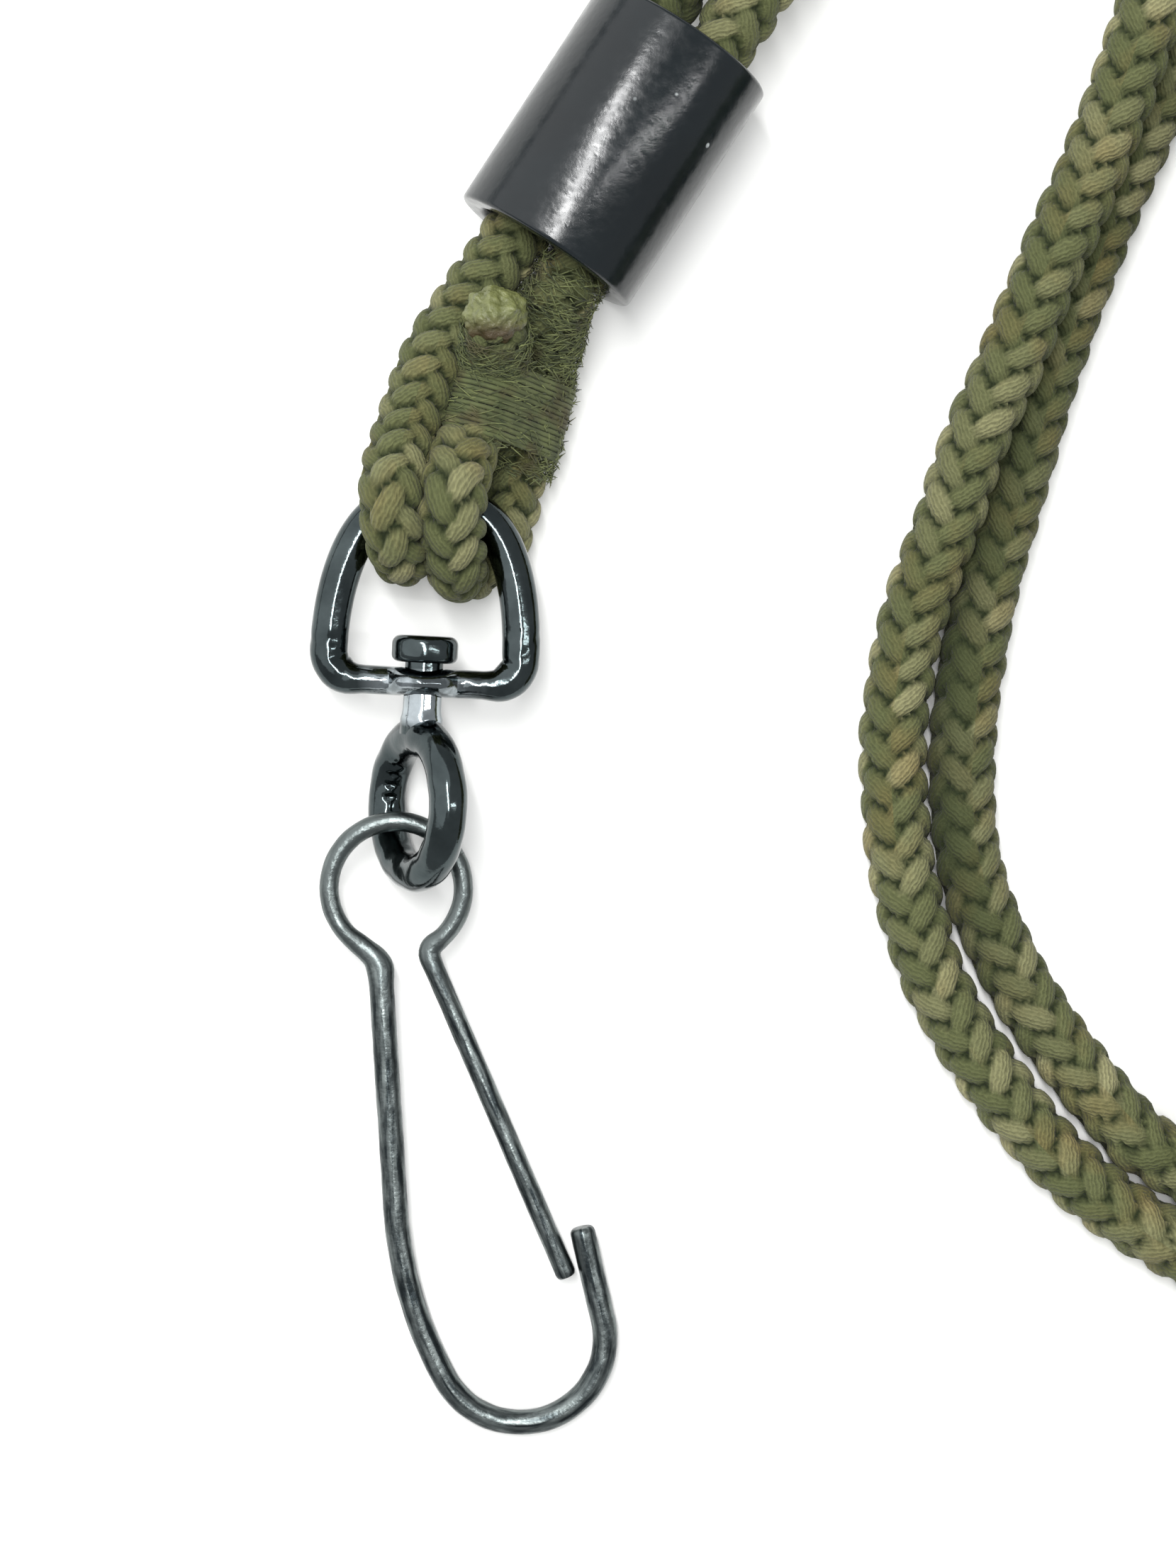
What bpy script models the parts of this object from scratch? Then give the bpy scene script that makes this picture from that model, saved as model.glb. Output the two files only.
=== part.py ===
"""A duty lanyard: doubled round braided cord, a sliding keeper sleeve, a D-ring with a swivel eye, and a
spring-wire clip. It lies on a table as it does out of the hand, hook towards -Y, with +Z up.

Lengths are in millimetres and MM turns them into metres. Angles are in degrees.
The origin is under the middle of the hardware, the cord's ends and the keeper, on the table.
"""

import math

import bmesh
import bpy
from mathutils import Euler, Matrix, Vector

MM = 0.001

# Cord: 3/16 inch braid. Its solids are a little slimmer than the 4.76 mm braid, so that they stay apart.
CORD_R = 2.25
PINCHED_R = 1.9  # where a whipping squeezes it
LOOP_R = 1.75  # where both ends crowd into the D-ring's arch
CORD_STEP = 10.0  # spacing of the points along the free cord
END_STEP = 1.7  # spacing along the short ends, which bend tightly

# Keeper sleeve: a moulded tube that both cords run through.
KEEPER_FOOT = Vector((0.66, 32.48, 7.0))  # centre of the lower mouth
KEEPER_ANGLE = 57.05  # of its axis from +X
KEEPER_R = 6.95
KEEPER_BORE_R = 5.1
KEEPER_LENGTH = 17.8
KEEPER_CHAMFER = 0.35

# D-ring and swivel: both are built on the swivel post, whose axis is the local Y of this frame.
POST_PLACE = Vector((-7.95, 2.2, 6.05))  # where the post crosses the D-ring's bar
POST_PITCH = 3.0  # the arch end of the D-ring rides up on the cord
POST_YAW = -3.0
D_WIRE_R = 1.35
D_HALF_WIDTH = 6.8
D_CORNER_R = 2.0
D_ARCH_HEIGHT = 10.8
D_ARCH_POWER = 2.9  # over 2, so the arch is flatter than an ellipse's
BAR_THIN_R = 1.05  # the bar is forged thinner where the post goes through
PAD_R = 2.75
POST_R = 1.3
POST_HOLE_R = 1.65
HEAD_R = 2.35
HEAD_FOOT = 1.4
HEAD_TOP = 3.3
EYE_R = 4.85  # to the middle of its wire
EYE_WIRE_R = 1.35
EYE_DROP = 8.7  # from the bar to the eye's centre
EYE_TURN = 60.7  # the eye is turned about the post, its left side down on the table

# Clip: one spring wire, ring, hook leg, hook and gate leg, nearly flat on the table.
CLIP_PLACE = Vector((-10.0, -12.45, 3.62))  # centre of its ring
CLIP_PITCH = 4.03  # the ring end rests on the eye
CLIP_RING_R = 4.8
RING_WIRE_R = 0.66
LEG_WIRE_R = 0.85
GATE_WIRE_R = 0.7
GATE_GAP = 0.4  # between the gate leg's solid and the ring's, at the spring bend

# Hank: the rest of the cord, wound beside the object in line with it and tied round the middle.
HANK_X = 66.5
HANK_FOOT_Y = -30.9  # centres of its two round ends
HANK_HEAD_Y = 31.1
HANK_R = 19.4
HANK_LOW = 0.9
HANK_HIGH = 10.3
TIE_THICK = 0.6
TIE_HALF_WIDTH = 3.5
TIE_GAP = 0.3

# The free cord's two runs, side by side, from the keeper round the bight and down to the hank.
OUTER_ROUTE = [
    (8.5, 49.1, 7.0), (12.9, 55.8, 7.0), (18.4, 64.8, 6.6), (24.6, 70.7, 4.6), (32.6, 72.6, 2.8),
    (40.9, 70.0, 2.4), (47.0, 63.9, 2.4), (49.0, 57.2, 2.4), (47.5, 51.0, 2.4), (44.6, 44.4, 2.4),
    (41.7, 38.0, 2.4), (39.2, 31.7, 2.4), (36.7, 24.6, 2.4), (34.6, 17.3, 2.4), (32.3, 9.1, 2.4),
    (31.0, 2.0, 2.4), (30.5, -4.6, 2.4), (31.2, -11.2, 2.4), (33.4, -17.0, 2.4), (37.2, -23.3, 2.4),
    (42.0, -29.2, 2.4), (45.0, -31.7, 2.4),
]
INNER_ROUTE = [
    (12.6, 46.4, 7.0), (17.1, 53.1, 7.0), (22.9, 61.9, 6.6), (27.1, 65.9, 4.8), (32.6, 67.4, 3.0),
    (38.5, 65.8, 2.5), (42.8, 61.5, 3.2), (44.4, 55.8, 5.0), (43.3, 49.7, 6.4), (41.0, 43.0, 6.5),
    (38.8, 37.4, 6.4), (36.2, 31.5, 6.4), (33.8, 25.4, 6.2), (31.1, 19.3, 5.6), (29.3, 13.7, 4.7),
    (27.2, 7.9, 3.6), (26.0, 2.1, 2.7), (25.6, -3.7, 2.4), (26.3, -11.2, 2.4), (28.6, -19.0, 2.4),
    (33.1, -26.6, 2.4), (38.4, -32.8, 2.4), (45.0, -37.6, 2.4),
]

# The cord's two ends, from the keeper down to the D-ring, round its arch and back up.
# Each point has the cord's radius there as its fourth number.
LEFT_END_ROUTE = [
    (8.2, 48.6, 7.0, CORD_R), (3.4, 41.2, 7.0, CORD_R), (-1.4, 33.8, 7.0, CORD_R),
    (-4.9, 29.6, 6.8, 2.1), (-7.3, 26.0, 6.9, 2.05), (-8.7, 22.6, 7.6, 2.0), (-9.4, 19.6, 8.3, 2.0),
    (-9.9, 16.9, 9.7, PINCHED_R), (-9.9, 14.7, 10.5, LOOP_R), (-9.7, 12.3, 9.7, LOOP_R),
    (-9.3, 10.9, 6.8, LOOP_R), (-9.6, 12.1, 4.0, LOOP_R), (-9.7, 14.4, 2.8, LOOP_R),
    (-8.2, 16.3, 2.4, PINCHED_R), (-6.1, 17.6, 2.4, PINCHED_R), (-4.9, 19.4, 2.4, PINCHED_R),
    (-4.3, 21.7, 2.4, PINCHED_R), (-3.8, 23.8, 2.4, PINCHED_R), (-3.5, 26.0, 2.4, PINCHED_R),
]
RIGHT_END_ROUTE = [
    (12.3, 45.9, 7.0, CORD_R), (7.5, 38.5, 7.0, CORD_R), (2.7, 31.15, 7.0, CORD_R),
    (1.9, 28.6, 5.9, 2.15), (1.0, 26.0, 3.8, 2.0), (0.2, 23.5, 2.85, PINCHED_R),
    (-0.45, 20.9, 2.85, PINCHED_R), (-1.15, 18.2, 2.85, PINCHED_R), (-1.8, 15.7, 2.4, 2.1),
    (-2.3, 13.4, 2.4, 2.0), (-3.0, 11.5, 2.6, PINCHED_R), (-4.4, 10.2, 3.5, LOOP_R),
    (-5.3, 9.9, 5.2, LOOP_R), (-5.4, 10.7, 7.5, LOOP_R), (-5.7, 12.6, 9.6, LOOP_R),
    (-5.8, 15.0, 10.6, LOOP_R), (-5.3, 17.3, 9.2, PINCHED_R), (-4.6, 19.0, 7.1, PINCHED_R),
    (-3.9, 21.7, 7.05, PINCHED_R), (-3.25, 24.2, 7.15, PINCHED_R), (-2.6, 26.2, 9.2, PINCHED_R),
    (-2.1, 28.2, 11.2, PINCHED_R),
]

# Whipping: thread wound round three cords where they lie together.
WHIPPING_PLACE = Vector((-3.9, 21.7, 0.0))
WHIPPING_LEAN = 14.5  # of its length from +Y
WHIPPED_CORDS = [(-0.4, 2.4), (3.55, 2.85), (0.0, 7.1)]  # across and up, anticlockwise
WHIPPING_GAP = 0.15
THREAD_THICK = 0.35
WHIPPING_LENGTH = 4.0


def start_scene():
    """Empties the scene and makes the collections for the lanyard and its cutters."""
    for old in list(bpy.data.objects):
        bpy.data.objects.remove(old, do_unlink=True)
    made = []
    for name in ("lanyard", "cutters"):
        collection = bpy.data.collections.new(name)
        bpy.context.scene.collection.children.link(collection)
        made.append(collection)
    return made


LANYARD, CUTTERS = start_scene()


def finish(name, colour, roughness, metallic=0.0):
    """A Principled material. colour is linear red, green and blue."""
    material = bpy.data.materials.new(name)
    material.use_nodes = True
    shader = material.node_tree.nodes["Principled BSDF"]
    shader.inputs["Base Color"].default_value = (*colour, 1.0)
    shader.inputs["Roughness"].default_value = roughness
    shader.inputs["Metallic"].default_value = metallic
    material.diffuse_color = (*colour, 1.0)
    return material


BRAID = finish("olive_nylon_braid", (0.13, 0.15, 0.055), 0.75)
THREAD = finish("olive_thread", (0.15, 0.16, 0.06), 0.8)
PLASTIC = finish("black_moulded_plastic", (0.012, 0.014, 0.02), 0.25)
BLACKENED = finish("blackened_steel", (0.045, 0.045, 0.045), 0.35, 1.0)
SPRING = finish("worn_spring_steel", (0.11, 0.11, 0.11), 0.35, 1.0)
TAPE = finish("dark_cotton_tape", (0.03, 0.035, 0.02), 0.85)


def add_object(name, data, collection=LANYARD, material=None, parent=None):
    thing = bpy.data.objects.new(name, data)
    collection.objects.link(thing)
    if material:
        data.materials.append(material)
    thing.parent = parent
    return thing


def add_frame(name, place, pitch=0.0, yaw=0.0):
    """An empty at a joint's axis, turned about X by pitch and then about Z by yaw."""
    empty = add_object(name, None)
    empty.location = place * MM
    empty.rotation_euler = Euler((math.radians(pitch), 0.0, math.radians(yaw)))
    return empty


def as_cutter(thing):
    """Moves a shape that only cuts or joins others out of the lanyard's own collection."""
    LANYARD.objects.unlink(thing)
    CUTTERS.objects.link(thing)
    thing.hide_render = True
    thing.display_type = "WIRE"
    return thing


def catmull_rom(points, steps=12):
    """A smooth line through the points, which may carry a radius as a fourth number."""
    rows = [Vector(p) for p in points]
    rows = [2 * rows[0] - rows[1], *rows, 2 * rows[-1] - rows[-2]]
    line = []
    for a, b, c, d in zip(rows, rows[1:], rows[2:], rows[3:]):
        for k in range(steps):
            t = k / steps
            line.append(
                0.5 * (2 * b + (c - a) * t + (2 * a - 5 * b + 4 * c - d) * t**2 + (3 * b - a - 3 * c + d) * t**3)
            )
    line.append(rows[-2])
    return line


def respaced(line, step):
    """Points along a line, evenly spaced, with its two ends kept."""
    lengths = [0.0]
    for a, b in zip(line, line[1:]):
        lengths.append(lengths[-1] + (b - a).length)
    count = max(2, round(lengths[-1] / step))
    out, k = [], 0
    for i in range(count + 1):
        want = lengths[-1] * i / count
        while k < len(line) - 2 and lengths[k + 1] < want:
            k += 1
        share = (want - lengths[k]) / (lengths[k + 1] - lengths[k])
        out.append(line[k].lerp(line[k + 1], share))
    return out


def tube(name, line, radius, material, sides=2, cyclic=False, parent=None):
    """A round wire or cord along a line of points; radius is a number or one for each point."""
    radii = radius if isinstance(radius, list) else [radius] * len(line)
    curve = bpy.data.curves.new(name, "CURVE")
    curve.dimensions = "3D"
    curve.bevel_depth = MM
    curve.bevel_resolution = sides
    curve.use_fill_caps = not cyclic
    spline = curve.splines.new("POLY")
    spline.points.add(len(line) - 1)
    for point, place, r in zip(spline.points, line, radii):
        point.co = (*(Vector(place[:3]) * MM), 1.0)
        point.radius = r
    spline.use_cyclic_u = cyclic
    return add_object(name, curve, material=material, parent=parent)


def made_mesh(thing):
    """The same shape as a mesh with its caps welded, so that it can take a Boolean."""
    bpy.context.view_layer.update()
    graph = bpy.context.evaluated_depsgraph_get()
    mesh = bpy.data.meshes.new_from_object(thing.evaluated_get(graph))
    shape = bmesh.new()
    shape.from_mesh(mesh)
    bmesh.ops.remove_doubles(shape, verts=shape.verts, dist=0.00001)
    bmesh.ops.recalc_face_normals(shape, faces=shape.faces)
    shape.to_mesh(mesh)
    shape.free()
    solid = bpy.data.objects.new(thing.name, mesh)
    LANYARD.objects.link(solid)
    solid.parent = thing.parent
    solid.matrix_world = thing.matrix_world
    name = thing.name
    bpy.data.objects.remove(thing, do_unlink=True)
    solid.name = name
    return solid


def boolean(thing, other, operation):
    step = thing.modifiers.new(operation.lower(), "BOOLEAN")
    step.operation = operation
    step.solver = "EXACT"
    step.object = other


def cylinder(name, radius, depth, sides, parent):
    """A cylinder along its parent's Y, with its middle at the parent's origin."""
    mesh = bpy.data.meshes.new(name)
    shape = bmesh.new()
    bmesh.ops.create_cone(
        shape, cap_ends=True, segments=sides, radius1=radius * MM, radius2=radius * MM, depth=depth * MM
    )
    bmesh.ops.rotate(shape, verts=shape.verts, matrix=Matrix.Rotation(math.radians(90), 3, "X"))
    shape.to_mesh(mesh)
    shape.free()
    return add_object(name, mesh, parent=parent)


def turned(name, profile, sides, material=None, parent=None, closed=False):
    """A shape turned about its own Z from (radius, height) points that run down its outer side."""
    mesh = bpy.data.meshes.new(name)
    edges = [(i, i + 1) for i in range(len(profile) - 1)]
    if closed:
        edges.append((len(profile) - 1, 0))
    mesh.from_pydata([(r * MM, 0.0, h * MM) for r, h in profile], edges, [])
    thing = add_object(name, mesh, material=material, parent=parent)
    screw = thing.modifiers.new("turned", "SCREW")
    screw.steps = sides
    screw.render_steps = sides
    screw.use_merge_vertices = True
    screw.merge_threshold = 0.00001
    screw.use_normal_calculate = False
    return thing


def extruded(name, outlines, thickness, material):
    """A flat outline, with holes if it has more than one, extruded both ways from its plane."""
    curve = bpy.data.curves.new(name, "CURVE")
    curve.dimensions = "2D"
    curve.fill_mode = "BOTH"
    curve.extrude = thickness / 2 * MM
    for outline in outlines:
        spline = curve.splines.new("POLY")
        spline.points.add(len(outline) - 1)
        for point, (x, y) in zip(spline.points, outline):
            point.co = (x * MM, y * MM, 0.0, 1.0)
        spline.use_cyclic_u = True
    return add_object(name, curve, material=material)


def round_outline(centres, radius, arc_steps):
    """The outline of equal circles inside a tight band; centres run anticlockwise."""
    outline = []
    for i, centre in enumerate(centres):
        before, after = centres[i - 1], centres[(i + 1) % len(centres)]
        start = math.atan2(centre[1] - before[1], centre[0] - before[0]) - math.pi / 2
        end = math.atan2(after[1] - centre[1], after[0] - centre[0]) - math.pi / 2
        sweep = (end - start) % (2 * math.pi)
        for k in range(arc_steps + 1):
            angle = start + sweep * k / arc_steps
            outline.append((centre[0] + radius * math.cos(angle), centre[1] + radius * math.sin(angle)))
    return outline


def bent_wire(place, heading, bends, step):
    """Points along a wire in one plane. A bend is (length,) for a straight or (radius, turn) for an arc."""
    x, y = place
    points = [Vector((x, y, 0.0))]
    for bend in bends:
        length = bend[0] if len(bend) == 1 else abs(bend[0] * math.radians(bend[1]))
        count = max(1, math.ceil(length / (step if len(bend) == 2 else 6 * step)))
        for _ in range(count):
            turn = bend[1] / count if len(bend) == 2 else 0.0
            angle = math.radians(heading + turn / 2)
            # the chord of the arc's share, or the share of the straight
            reach = length / count
            if turn:
                reach = 2 * bend[0] * math.sin(abs(math.radians(turn)) / 2)
            x, y = x + reach * math.cos(angle), y + reach * math.sin(angle)
            heading += turn
            points.append(Vector((x, y, 0.0)))
    return points


# The cord's two ends: each runs from the keeper round the arch of the D-ring and back up.
def cord_end(name, route):
    line = respaced(catmull_rom(route), END_STEP)
    return tube(name, line, [p[3] for p in line], BRAID, sides=3)


cord_end("cord_end_left", LEFT_END_ROUTE)
cord_end("cord_end_right", RIGHT_END_ROUTE)

# Whipping: thread wound tightly round the folded end, its standing part and the other tail.
band_r = PINCHED_R + WHIPPING_GAP
whipping = extruded(
    "end_whipping",
    [
        round_outline(WHIPPED_CORDS, band_r + THREAD_THICK, 8),
        round_outline(WHIPPED_CORDS, band_r, 8),
    ],
    WHIPPING_LENGTH,
    THREAD,
)
across = Vector((math.cos(math.radians(WHIPPING_LEAN)), -math.sin(math.radians(WHIPPING_LEAN)), 0.0))
up = Vector((0.0, 0.0, 1.0))
whipping.matrix_world = Matrix.LocRotScale(
    WHIPPING_PLACE * MM, Matrix((across, up, across.cross(up))).transposed().to_quaternion(), None
)

# Free cord: its two runs as plain tubes, down to the hank.
for name, route in (("free_cord_outer", OUTER_ROUTE), ("free_cord_inner", INNER_ROUTE)):
    tube(name, respaced(catmull_rom(route), CORD_STEP), CORD_R, BRAID)

# Hank: the wound cord as one block with round ends, and the tape tied round its waist.
hank = extruded(
    "cord_hank", [round_outline([(HANK_X, HANK_FOOT_Y), (HANK_X, HANK_HEAD_Y)], HANK_R, 16)],
    HANK_HIGH - HANK_LOW, BRAID,
)
hank.location.z = (HANK_LOW + HANK_HIGH) / 2 * MM


def tie_outline(grow):
    """A rounded rectangle round the hank's section, grown outwards from a close fit."""
    corner = TIE_GAP
    half_x = HANK_R + TIE_GAP - corner
    low, high = HANK_LOW - TIE_GAP + corner, HANK_HIGH + TIE_GAP - corner
    corners = [(-half_x, low), (half_x, low), (half_x, high), (-half_x, high)]
    return round_outline(corners, corner + grow, 4)


tie = extruded("hank_tie", [tie_outline(TIE_THICK), tie_outline(0.0)], 2 * TIE_HALF_WIDTH, TAPE)
tie.location = Vector((HANK_X, (HANK_FOOT_Y + HANK_HEAD_Y) / 2, 0.0)) * MM
tie.rotation_euler = Euler((math.radians(90), 0.0, 0.0))

# Keeper sleeve: a plain tube with broken edges, turned about its own axis along the cords.
keeper_axis = Vector((math.cos(math.radians(KEEPER_ANGLE)), math.sin(math.radians(KEEPER_ANGLE)), 0.0))
keeper_frame = add_frame("keeper_frame", KEEPER_FOOT)
keeper_frame.rotation_mode = "QUATERNION"
keeper_frame.rotation_quaternion = Vector((0.0, 0.0, 1.0)).rotation_difference(keeper_axis)
turned(
    "keeper_sleeve",
    [
        (KEEPER_R - KEEPER_CHAMFER, KEEPER_LENGTH),
        (KEEPER_R, KEEPER_LENGTH - KEEPER_CHAMFER),
        (KEEPER_R, KEEPER_CHAMFER),
        (KEEPER_R - KEEPER_CHAMFER, 0.0),
        (KEEPER_BORE_R, 0.0),
        (KEEPER_BORE_R, KEEPER_LENGTH),
    ],
    40,
    PLASTIC,
    keeper_frame,
    closed=True,
)


# D-ring: bent from round bar, its foot forged to a flat pad that the swivel post turns in.
def d_line():
    """The middle of the D-ring's wire, from the bar round the arch, and the wire's radius there."""
    line = []
    bar_end = D_HALF_WIDTH - D_CORNER_R
    for k in range(9):
        line.append((bar_end * (k / 4 - 1), 0.0))
    for k in range(1, 7):
        angle = math.radians(-90 + 15 * k)
        line.append((bar_end + D_CORNER_R * math.cos(angle), D_CORNER_R * (1 + math.sin(angle))))
    arch_steps = 26
    for k in range(1, arch_steps):
        angle = math.pi * k / arch_steps
        side = math.copysign(abs(math.cos(angle)) ** (2 / D_ARCH_POWER), math.cos(angle))
        line.append((D_HALF_WIDTH * side, D_CORNER_R + D_ARCH_HEIGHT * math.sin(angle)))
    for k in range(6):
        angle = math.radians(-180 + 15 * k)
        line.append((-bar_end + D_CORNER_R * math.cos(angle), D_CORNER_R * (1 + math.sin(angle))))
    middle = 3.0  # half the forged stretch of the bar
    radii = [BAR_THIN_R if abs(x) < middle and y < 1.0 else D_WIRE_R for x, y in line]
    return [Vector((x, y, 0.0)) for x, y in line], radii


post_frame = add_frame("post_frame", POST_PLACE, POST_PITCH, POST_YAW)
d_points, d_radii = d_line()
d_ring = made_mesh(tube("d_ring", d_points, d_radii, BLACKENED, sides=4, cyclic=True, parent=post_frame))
pad = as_cutter(cylinder("d_ring_pad", PAD_R, 2 * BAR_THIN_R - 0.1, 24, post_frame))
post_hole = as_cutter(cylinder("post_hole", POST_HOLE_R, 8.0, 24, post_frame))
boolean(d_ring, pad, "UNION")
boolean(d_ring, post_hole, "DIFFERENCE")

# Swivel eye: a cast ring on a post, whose end is peened to a head inside the D-ring.
eye_frame = add_frame("eye_frame", Vector((0.0, -EYE_DROP, 0.0)))
eye_frame.parent = post_frame
eye_frame.rotation_euler = Euler((0.0, math.radians(-EYE_TURN), 0.0))
eye_line = [
    Vector((EYE_R * math.cos(math.tau * k / 36), EYE_R * math.sin(math.tau * k / 36), 0.0)) for k in range(36)
]
eye = made_mesh(tube("swivel_eye", eye_line, EYE_WIRE_R, BLACKENED, sides=4, cyclic=True, parent=eye_frame))
post = turned(
    "swivel_post",
    [
        (0.0, HEAD_TOP),
        (HEAD_R - 0.6, HEAD_TOP - 0.1),
        (HEAD_R, HEAD_TOP - 0.8),
        (HEAD_R, HEAD_FOOT + 0.2),
        (HEAD_R - 0.2, HEAD_FOOT),
        (POST_R, HEAD_FOOT),
        (POST_R, EYE_R - EYE_DROP),
        (0.0, EYE_R - EYE_DROP),
    ],
    24,
    parent=post_frame,
)
post.rotation_euler = Euler((math.radians(-90), 0.0, 0.0))
boolean(eye, as_cutter(post), "UNION")

# Clip: bent from one length of spring wire. The gate leg is its own solid, because it flexes.
clip_frame = add_frame("clip_frame", CLIP_PLACE, CLIP_PITCH)
NECK_RIGHT = -52.0  # the ring's two ends, as angles round it
NECK_LEFT = 230.0
LEFT_SHOULDER = 1.75
RIGHT_SHOULDER = 0.3
SPRING_BEND = (0.95, 75.0)
GATE_LENGTH = 24.6
neck = math.radians(NECK_RIGHT)
neck_place = (CLIP_RING_R * math.cos(neck), CLIP_RING_R * math.sin(neck))
spring_bend = bent_wire(neck_place, NECK_RIGHT - 90, [(RIGHT_SHOULDER,), SPRING_BEND], 0.35)
ring_and_hook = bent_wire(
    neck_place,
    NECK_RIGHT + 90,
    [
        (CLIP_RING_R, NECK_LEFT - NECK_RIGHT),  # ring
        (LEFT_SHOULDER,),
        (1.7, -46.6),  # left neck
        (17.25,),  # hook leg
        (29.5, 25.0),  # its bow
        (6.15, 164.6),  # hook
        (6.9,),  # hook tip
    ],
    0.9,
)
wire_line = spring_bend[:0:-1] + ring_and_hook
leg_starts = len(spring_bend) + math.ceil(abs(CLIP_RING_R * math.radians(NECK_LEFT - NECK_RIGHT)) / 0.9)
wire_radii = []
for i, _ in enumerate(wire_line):
    thicker = min(1.0, max(0.0, (i - leg_starts) / 4))
    wire_radii.append(RING_WIRE_R + (LEG_WIRE_R - RING_WIRE_R) * thicker)
tube("clip_wire", wire_line, wire_radii, SPRING, sides=2, parent=clip_frame)

gate_heading = NECK_RIGHT - 90 + SPRING_BEND[1]
gate_frame = add_frame("gate_frame", spring_bend[-1])
gate_frame.parent = clip_frame
gate_frame.rotation_euler = Euler((0.0, 0.0, math.radians(gate_heading)))
gate_line = [Vector((GATE_GAP + (GATE_LENGTH - GATE_GAP) * k / 6, 0.0, 0.0)) for k in range(7)]
tube("clip_gate", gate_line, GATE_WIRE_R, SPRING, sides=2, parent=gate_frame)
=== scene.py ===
"""Looks for a duty lanyard: doubled olive braid, keeper sleeve, D-ring, swivel eye and spring-wire clip.

Runs in Blender 4.5 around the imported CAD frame. Lengths are in millimetres, and MM turns them into metres.
"""

import math
import random

import bmesh
import bpy
from mathutils import Matrix, Vector, noise


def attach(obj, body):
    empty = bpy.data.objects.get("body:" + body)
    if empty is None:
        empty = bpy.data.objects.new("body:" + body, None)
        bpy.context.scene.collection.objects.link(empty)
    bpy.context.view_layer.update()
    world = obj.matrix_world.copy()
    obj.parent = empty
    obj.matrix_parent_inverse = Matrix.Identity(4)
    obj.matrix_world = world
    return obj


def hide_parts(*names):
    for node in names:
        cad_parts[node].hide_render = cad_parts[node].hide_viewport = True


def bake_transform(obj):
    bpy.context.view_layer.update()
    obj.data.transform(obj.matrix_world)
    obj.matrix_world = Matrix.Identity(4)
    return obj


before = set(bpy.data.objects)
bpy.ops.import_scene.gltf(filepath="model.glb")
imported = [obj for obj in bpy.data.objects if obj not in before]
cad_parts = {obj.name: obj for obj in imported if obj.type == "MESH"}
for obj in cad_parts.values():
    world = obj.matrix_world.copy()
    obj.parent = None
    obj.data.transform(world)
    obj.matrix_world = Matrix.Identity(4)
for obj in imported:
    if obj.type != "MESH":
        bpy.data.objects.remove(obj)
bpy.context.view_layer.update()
MM = 0.001

# Camera: straight above the D-ring, looking down from a hand's length and a half over the table. Its long
# lens shows the metal parts and the first stretch of the cord, and leaves the hank out.
camera = bpy.data.objects.new("camera", bpy.data.cameras.new("camera"))
camera.data.sensor_fit = "HORIZONTAL"
camera.data.sensor_width = 36.0
camera.data.lens = 109.43
camera.data.clip_start = 0.01
camera.location = Vector((3.7, -5.0, 259.0)) * MM
bpy.context.scene.collection.objects.link(camera)
bpy.context.scene.camera = camera


# Cord: one length of round nylon braid, 3/16 inch, plaited on twelve carriers, each passing over two and
# under two. The free part runs from the sleeve, round a bight, to a hank that puts the rest of it away, and
# back beside itself.
CORD_D = 4.76
BRAID_R = 2.55  # over the floats, which stand a little proud of the nominal size
FLOAT_HEIGHT = 0.72  # how far a yarn bundle stands out of the core
FLOAT_SLANT = 0.16  # a float lies more across the cord than its carrier runs
CARRIERS = 6  # in each direction
BRAID_PITCH = 15.6  # one turn of a carrier along the cord
OUTER_ROUTE = [
    (7.6, 47.7, 7.0), (8.5, 49.1, 7.0), (12.9, 55.8, 7.0), (18.4, 64.8, 6.6), (24.6, 70.7, 4.6),
    (32.6, 72.6, 2.8), (40.9, 70.0, 2.4), (47.0, 63.9, 2.4), (49.0, 57.2, 2.4), (47.5, 51.0, 2.4),
    (44.6, 44.4, 2.4), (41.7, 38.0, 2.4), (39.2, 31.7, 2.4), (36.7, 24.6, 2.4), (34.6, 17.3, 2.4),
    (32.3, 9.1, 2.4), (31.0, 2.0, 2.4), (30.5, -4.6, 2.4), (31.2, -11.2, 2.4), (33.4, -17.0, 2.4),
    (37.2, -23.3, 2.4), (42.0, -29.2, 2.4), (45.0, -31.7, 2.4),
]
INNER_ROUTE = [
    (11.7, 45.0, 7.0), (12.6, 46.4, 7.0), (17.1, 53.1, 7.0), (22.9, 61.9, 6.6), (27.1, 65.9, 4.8),
    (32.6, 67.4, 3.0), (38.5, 65.8, 2.5), (42.8, 61.5, 3.2), (44.4, 55.8, 5.0), (43.3, 49.7, 6.4),
    (41.0, 43.0, 6.5), (38.8, 37.4, 6.4), (36.2, 31.5, 6.4), (33.8, 25.4, 6.2), (31.1, 19.3, 5.6),
    (29.3, 13.7, 4.7), (27.2, 7.9, 3.6), (26.0, 2.1, 2.7), (25.6, -3.7, 2.4), (26.3, -11.2, 2.4),
    (28.6, -19.0, 2.4), (33.1, -26.6, 2.4), (38.4, -32.8, 2.4), (45.0, -37.6, 2.4),
]
HANK_MIDDLE = Vector((66.5, 0.1))
HANK_HALF = 31.0  # from its waist to the centres of its round ends
TRACKS = (12.0, 16.8)  # radii of the two strands of the pair
LAYERS = (2.5, 7.2)  # heights of the strand's middle in the lower and the upper layer
WAIST_LIFT = 0.75  # over the tape that ties it
WAIST_REACH = 9.0  # along the hank, from its waist to where that lift ends
CLIMB_FROM, CLIMB_LENGTH = 3.35, 0.6  # quarters of a turn


def eased(value):
    """From 0 to 1 without a corner."""
    value = min(1.0, max(0.0, value))
    return value * value * (3 - 2 * value)


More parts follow.
